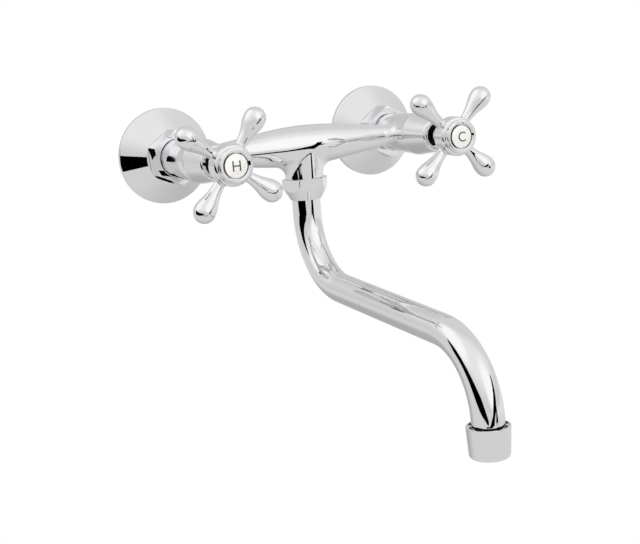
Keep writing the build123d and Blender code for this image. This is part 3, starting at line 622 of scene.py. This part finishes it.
def line_rim(material, ink, start):
    """Darken a material farther than the start from the nearer valve axis."""
    edge_width = 0.05 * MM
    tree = material.node_tree
    place = tree.nodes.new("ShaderNodeTexCoord")
    parts = add_node(tree, "ShaderNodeSeparateXYZ", {"Vector": place.outputs["Object"]})
    either_side = add_node(tree, "ShaderNodeMath", {0: parts.outputs["X"]}, operation="ABSOLUTE")
    across = add_node(tree, "ShaderNodeMath", {
        0: either_side.outputs[0], 1: HALF_SPACING}, operation="SUBTRACT")
    off_axis = add_node(tree, "ShaderNodeCombineXYZ", {
        "X": across.outputs[0], "Y": parts.outputs["Z"]})
    radius = add_node(tree, "ShaderNodeVectorMath", {
        0: off_axis.outputs["Vector"]}, operation="LENGTH")
    mask = add_node(tree, "ShaderNodeMapRange", {
        "Value": radius.outputs["Value"], "From Min": start, "From Max": start + edge_width})
    surface = tree.nodes["Principled BSDF"].inputs["Base Color"]
    lined = blend_colours(tree, mask.outputs["Result"], surface.links[0].from_socket, ink)
    tree.links.new(lined, surface)


def letter_outline(letter, height):
    """The flat faces of a plain capital, upright in the XZ plane about the origin."""
    curve = bpy.data.curves.new(f"letter_{letter}", "FONT")
    curve.body = letter
    curve.resolution_u = 6
    mesh = mesh_of_curve(curve)
    shape = bmesh.new()
    shape.from_mesh(mesh)
    bpy.data.meshes.remove(mesh)
    low = Vector((min(v.co.x for v in shape.verts), min(v.co.y for v in shape.verts)))
    high = Vector((max(v.co.x for v in shape.verts), max(v.co.y for v in shape.verts)))
    middle = (low + high) / 2.0
    scale = height / (high.y - low.y)
    for vertex in shape.verts:
        off_x = (vertex.co.x - middle.x) * scale
        off_z = (vertex.co.y - middle.y) * scale
        vertex.co = Vector((off_x, 0.0, off_z))
    return shape


def slice_shape(shape, step, reach):
    """Cut a flat shape by a grid, so that it can follow a dome."""
    count = int(reach / step)
    for direction in (Vector((1.0, 0.0, 0.0)), Vector((0.0, 0.0, 1.0))):
        for index in range(-count, count + 1):
            bmesh.ops.bisect_plane(
                shape, geom=shape.verts[:] + shape.edges[:] + shape.faces[:], dist=1e-7,
                plane_co=direction * (index * step), plane_no=direction)


def fired_mark(side, looks):
    """A thin capital that stands a little out of the domed glaze of one disc."""
    grid_step = 0.5 * MM
    dome_radius = (INDEX_RADIUS**2 + looks.dome**2) / (2.0 * looks.dome)
    shape = letter_outline(INDEX_MARKS[side], looks.mark_height)
    slice_shape(shape, grid_step, INDEX_RADIUS)
    for vertex in shape.verts:
        off_axis = math.hypot(vertex.co.x, vertex.co.z)
        sag = dome_radius - math.sqrt(dome_radius**2 - off_axis**2)
        vertex.co.y = -INDEX_FRONT + sag - looks.mark_rise
    raised = bmesh.ops.extrude_face_region(shape, geom=shape.faces[:])
    for item in raised["geom"]:
        if isinstance(item, bmesh.types.BMVert):
            item.co.y += 2.0 * looks.mark_rise
    bmesh.ops.recalc_face_normals(shape, faces=shape.faces)
    bmesh.ops.translate(shape, verts=shape.verts, vec=(SIDES[side] * HALF_SPACING, 0.0, 0.0))
    mesh = bpy.data.meshes.new(f"{side}_index_mark")
    shape.to_mesh(mesh)
    shape.free()
    return mesh


class TAP_OT_index_discs(bpy.types.Operator):
    """Glaze the index discs and fire a plain capital on each"""

    bl_idname = "tap.index_discs"
    bl_label = "Index Discs"

    def execute(self, context):
        looks = context.scene.tap_index
        deep_glaze = [0.95 * value for value in looks.glaze]
        thin_ink = [1.8 * value for value in looks.ink]
        glaze = moulded_material(
            "ivory_glaze", looks.glaze, deep_glaze, roughness=0.16, height=0.003 * MM,
            coat=1.0, soft=0.1)
        ink = moulded_material("fired_ink", looks.ink, thin_ink, roughness=0.3, coat=0.6)
        # A thin dark line round the rim of each disc, in the ink's colour
        line_rim(glaze, looks.ink, INDEX_RADIUS - looks.rim_line)
        dress(nodes_of_slot("index_porcelain"), glaze)
        for side in SIDES:
            mesh = fired_mark(side, looks)
            mesh.materials.append(ink)
            piece = link_mesh(f"{side}_index_mark", mesh)
            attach(piece, body_of_node(f"{side}_index_disc"))
        return {"FINISHED"}


# A flag hangs to the left of the tap, square to the wall: place along Y, lower and upper edge
FLAG_X = -0.40
FLAG_EDGES = [
    (0.06, -0.07, 0.10),
    (-0.15, -0.14, 0.02),
    (-0.50, -0.22, -0.05),
    (-1.00, -0.35, -0.30),
]
# A rod hooks down in front of the tap, and a post leans on the right: place and radius
ROD_ROUTES = {
    "black_rod": [
        (0.20, -0.37, 0.00, 0.016),
        (0.08, -0.34, -0.10, 0.020),
        (0.08, -0.55, -0.14, 0.035),
        (0.00, -0.50, -0.20, 0.018),
        (-0.30, -0.50, -0.28, 0.020),
    ],
    "black_post": [
        (0.67, -1.15, 0.25, 0.03),
        (0.60, -1.15, -0.15, 0.03),
        (0.35, -0.86, -0.31, 0.10),
    ],
}
# Between these heights, as angles, the tent goes from the tone of its foot to that of its top
TENT_FOOT = math.radians(3.0)
TENT_TOP = math.radians(40.0)
# Parts of the tent with a tone of their own. In degrees: turn to the right of straight at the
# wall, height, and how far off its middle a part begins to fade and ends. Last, the tone's setting
TENT_PARTS = [
    (35.0, 40.0, 26.0, 60.0, "dim_glow"),
    (10.0, 0.0, 25.0, 50.0, "wall_glow"),
    (162.0, 27.0, 16.0, 38.0, "key_glow"),
    (-70.0, 48.0, 12.0, 34.0, "key_glow"),
]


def glowing_material(name, camera_glow):
    """A stage material that glows plainly to the camera, and its colour's socket in the plate."""
    material = bpy.data.materials.new(name)
    material.use_nodes = True
    tree = material.node_tree
    tree.nodes.clear()
    path = tree.nodes.new("ShaderNodeLightPath")
    seen = add_node(tree, "ShaderNodeEmission", {"Strength": camera_glow})
    mirrored = add_node(tree, "ShaderNodeEmission", {"Color": (0.0, 0.0, 0.0, 1.0)})
    chosen = add_node(tree, "ShaderNodeMixShader", {
        0: path.outputs["Is Camera Ray"], 1: mirrored.outputs[0], 2: seen.outputs[0]})
    add_node(tree, "ShaderNodeOutputMaterial", {"Surface": chosen.outputs[0]})
    return material, mirrored.inputs["Color"]


def add_floor(settings):
    """A floor that is plain to the camera. In the plate it has a soft shadow behind the tap."""
    reach = 7.0
    far_start, far_end = 0.3, 1.4
    shade_core, shade_edge = 0.12, 0.62
    corners = [(-reach, -reach), (reach, -reach), (reach, reach), (-reach, reach)]
    mesh = bpy.data.meshes.new("floor")
    mesh.from_pydata([(x, y, settings.floor_height) for x, y in corners], [], [range(len(corners))])
    material, plate_colour = glowing_material("pale_floor", 1.0)
    tree = material.node_tree
    place = tree.nodes.new("ShaderNodeTexCoord")
    along = add_node(tree, "ShaderNodeSeparateXYZ", {"Vector": place.outputs["Object"]})
    farness = add_node(tree, "ShaderNodeMapRange", {
        "Value": along.outputs["X"], "From Min": far_start, "From Max": far_end},
        interpolation_type="SMOOTHSTEP")
    # Painted light: the floor's tone in the plate grows lighter far to the right
    lit = blend_colours(tree, farness.outputs["Result"], settings.floor_tint, settings.floor_far_light)
    shade_middle = (*settings.shade_place[:2], settings.floor_height)
    off_shade = add_node(tree, "ShaderNodeVectorMath", {
        0: place.outputs["Object"], 1: shade_middle}, operation="DISTANCE")
    nearness = add_node(tree, "ShaderNodeMapRange", {
        "Value": off_shade.outputs["Value"], "From Min": shade_edge, "From Max": shade_core},
        interpolation_type="SMOOTHSTEP")
    shaded = blend_colours(tree, nearness.outputs["Result"], lit, settings.floor_shade)
    tree.links.new(shaded, plate_colour)
    mesh.materials.append(material)
    link_mesh("floor", mesh)


def stage_for_plate(thing):
    """Mark a thing as stage that only the plate mirrors."""
    thing.visible_camera = False
    thing.visible_diffuse = False
    thing.visible_shadow = False
    thing.visible_transmission = False


def add_flag(material):
    """The long black flag on the left, which sinks towards the front and narrows to its end."""
    lower = [(FLAG_X, y, low) for y, low, high in FLAG_EDGES]
    upper = [(FLAG_X, y, high) for y, low, high in FLAG_EDGES]
    count = len(FLAG_EDGES)
    quads = [(i, i + 1, count + i + 1, count + i) for i in range(count - 1)]
    mesh = bpy.data.meshes.new("left_flag")
    mesh.from_pydata(lower + upper, [], quads)
    mesh.materials.append(material)
    stage_for_plate(link_mesh("left_flag", mesh))


def add_rod(name, route, material):
    """A black rod along a bowed route, as thick at each point as the route says."""
    curve = bpy.data.curves.new(f"{name}_curve", "CURVE")
    curve.dimensions = "3D"
    curve.bevel_depth = 1.0
    curve.bevel_resolution = 3
    curve.resolution_u = 12
    spline = curve.splines.new("NURBS")
    spline.points.add(len(route) - 1)
    for point, (x, y, z, radius) in zip(spline.points, route):
        point.co = (x, y, z, 1.0)
        point.radius = radius
    spline.order_u = 3
    spline.use_endpoint_u = True
    mesh = mesh_of_curve(curve)
    mesh.materials.clear()
    mesh.materials.append(material)
    stage_for_plate(link_mesh(name, mesh))


def tent_mask(tree, direction, turn, rise, inner, outer):
    """A mask that is 1 within a cone about one direction and fades to 0 at a wider one."""
    middle = (math.sin(turn) * math.cos(rise), math.cos(turn) * math.cos(rise), math.sin(rise))
    toward = add_node(tree, "ShaderNodeVectorMath", {
        0: direction, 1: middle}, operation="DOT_PRODUCT")
    mask = add_node(tree, "ShaderNodeMapRange", {
        "Value": toward.outputs["Value"], "From Min": math.cos(outer), "From Max": math.cos(inner)},
        interpolation_type="SMOOTHSTEP")
    return mask.outputs["Result"]


def add_world(settings):
    """A tent, pale above and greyer at its foot and beyond the wall. To the camera it is white."""
    world = bpy.data.worlds.new("studio_tent")
    world.use_nodes = True
    tree = world.node_tree
    tree.nodes.clear()
    direction = tree.nodes.new("ShaderNodeTexCoord").outputs["Generated"]
    height = add_node(tree, "ShaderNodeSeparateXYZ", {"Vector": direction})
    rise = add_node(tree, "ShaderNodeMapRange", {
        "Value": height.outputs["Z"],
        "From Min": math.sin(TENT_FOOT), "From Max": math.sin(TENT_TOP),
        "To Min": settings.foot_glow, "To Max": settings.sky_glow},
        interpolation_type="SMOOTHSTEP")
    glow = rise.outputs["Result"]
    for *angles, kind in TENT_PARTS:
        mask = tent_mask(tree, direction, *(math.radians(angle) for angle in angles))
        glow = mix_values(tree, mask, glow, getattr(settings, kind))
    white = (1.0, 1.0, 1.0, 1.0)
    plate, soft, plain = (
        add_node(tree, "ShaderNodeBackground", {"Color": white, "Strength": strength}).outputs[0]
        for strength in (glow, settings.soft_glow, 1.0))
    path = tree.nodes.new("ShaderNodeLightPath")
    lighting = add_node(tree, "ShaderNodeMixShader", {
        0: path.outputs["Is Diffuse Ray"], 1: plate, 2: soft})
    chosen = add_node(tree, "ShaderNodeMixShader", {
        0: path.outputs["Is Camera Ray"], 1: lighting.outputs[0], 2: plain})
    add_node(tree, "ShaderNodeOutputWorld", {"Surface": chosen.outputs[0]})
    bpy.context.scene.world = world


def add_camera(settings):
    """The camera at the photograph's angle."""
    turn, dip, roll = settings.camera_turn, settings.camera_dip, settings.camera_roll
    ahead = Vector((math.sin(turn) * math.cos(dip), math.cos(turn) * math.cos(dip), -math.sin(dip)))
    level = ahead.cross(Vector(ALONG_Z)).normalized()
    over = level.cross(ahead)
    right = level * math.cos(roll) + over * math.sin(roll)
    up = over * math.cos(roll) - level * math.sin(roll)
    data = bpy.data.cameras.new("studio_camera")
    data.lens = settings.lens
    data.sensor_width = settings.sensor
    data.sensor_fit = "HORIZONTAL"
    camera = bpy.data.objects.new("studio_camera", data)
    turned = Matrix((right, up, -ahead)).transposed().to_4x4()
    camera.matrix_world = Matrix.Translation(settings.camera_place) @ turned
    bpy.context.scene.collection.objects.link(camera)
    bpy.context.scene.camera = camera


def add_soft_light(settings):
    """One large soft light from the upper left, which only shapes what isn't plated."""
    data = bpy.data.lights.new("soft_box", "AREA")
    data.shape = "RECTANGLE"
    data.size, data.size_y = settings.light_size
    data.energy = settings.light_power
    light = bpy.data.objects.new("soft_box", data)
    place = Vector(settings.light_place)
    turned = place.to_track_quat("Z", "Y").to_matrix().to_4x4()
    light.matrix_world = Matrix.Translation(place) @ turned
    light.visible_glossy = False
    bpy.context.scene.collection.objects.link(light)


class TAP_OT_studio(bpy.types.Operator):
    """Set up the camera, tent and pale floor, the black flag, rod and post, and the soft light"""

    bl_idname = "tap.studio"
    bl_label = "Studio"

    def execute(self, context):
        settings = context.scene.tap_studio
        add_camera(settings)
        add_world(settings)
        add_floor(settings)
        black = glowing_material("black_flag", 0.0)[0]
        add_flag(black)
        for name, route in ROD_ROUTES.items():
            add_rod(name, route, black)
        add_soft_light(settings)
        context.scene.view_settings.view_transform = "Standard"
        return {"FINISHED"}


class TAP_PT_panel(bpy.types.Panel):
    """Lists the steps that finish the tap"""

    bl_idname = "TAP_PT_panel"
    bl_label = "Mixer Tap"
    bl_space_type = "VIEW_3D"
    bl_region_type = "UI"
    bl_category = "Tap"

    def draw(self, context):
        for operator in OPERATORS:
            self.layout.operator(operator.bl_idname)
        for group_name in SETTINGS:
            box = self.layout.box()
            group = getattr(context.scene, group_name)
            for name in group.__annotations__:
                box.prop(group, name)


SETTINGS = {
    "tap_chrome": ChromeSettings,
    "tap_thread": ThreadSettings,
    "tap_index": IndexSettings,
    "tap_studio": StudioSettings,
}
OPERATORS = [
    TAP_OT_studio,
    TAP_OT_plate,
    TAP_OT_wall_connectors,
    TAP_OT_inner_metal,
    TAP_OT_seals,
    TAP_OT_index_discs,
]


def register():
    for group in SETTINGS.values():
        bpy.utils.register_class(group)
    for operator in OPERATORS:
        bpy.utils.register_class(operator)
    bpy.utils.register_class(TAP_PT_panel)
    for name, group in SETTINGS.items():
        setattr(bpy.types.Scene, name, PointerProperty(type=group))


def unregister():
    for name in SETTINGS:
        delattr(bpy.types.Scene, name)
    bpy.utils.unregister_class(TAP_PT_panel)
    for operator in reversed(OPERATORS):
        bpy.utils.unregister_class(operator)
    for group in reversed(list(SETTINGS.values())):
        bpy.utils.unregister_class(group)


def main():
    """Register everything and run each step in order."""
    register()
    bpy.ops.tap.studio()
    bpy.ops.tap.plate()
    bpy.ops.tap.wall_connectors()
    bpy.ops.tap.inner_metal()
    bpy.ops.tap.seals()
    bpy.ops.tap.index_discs()


if __name__ == "__main__":
    main()
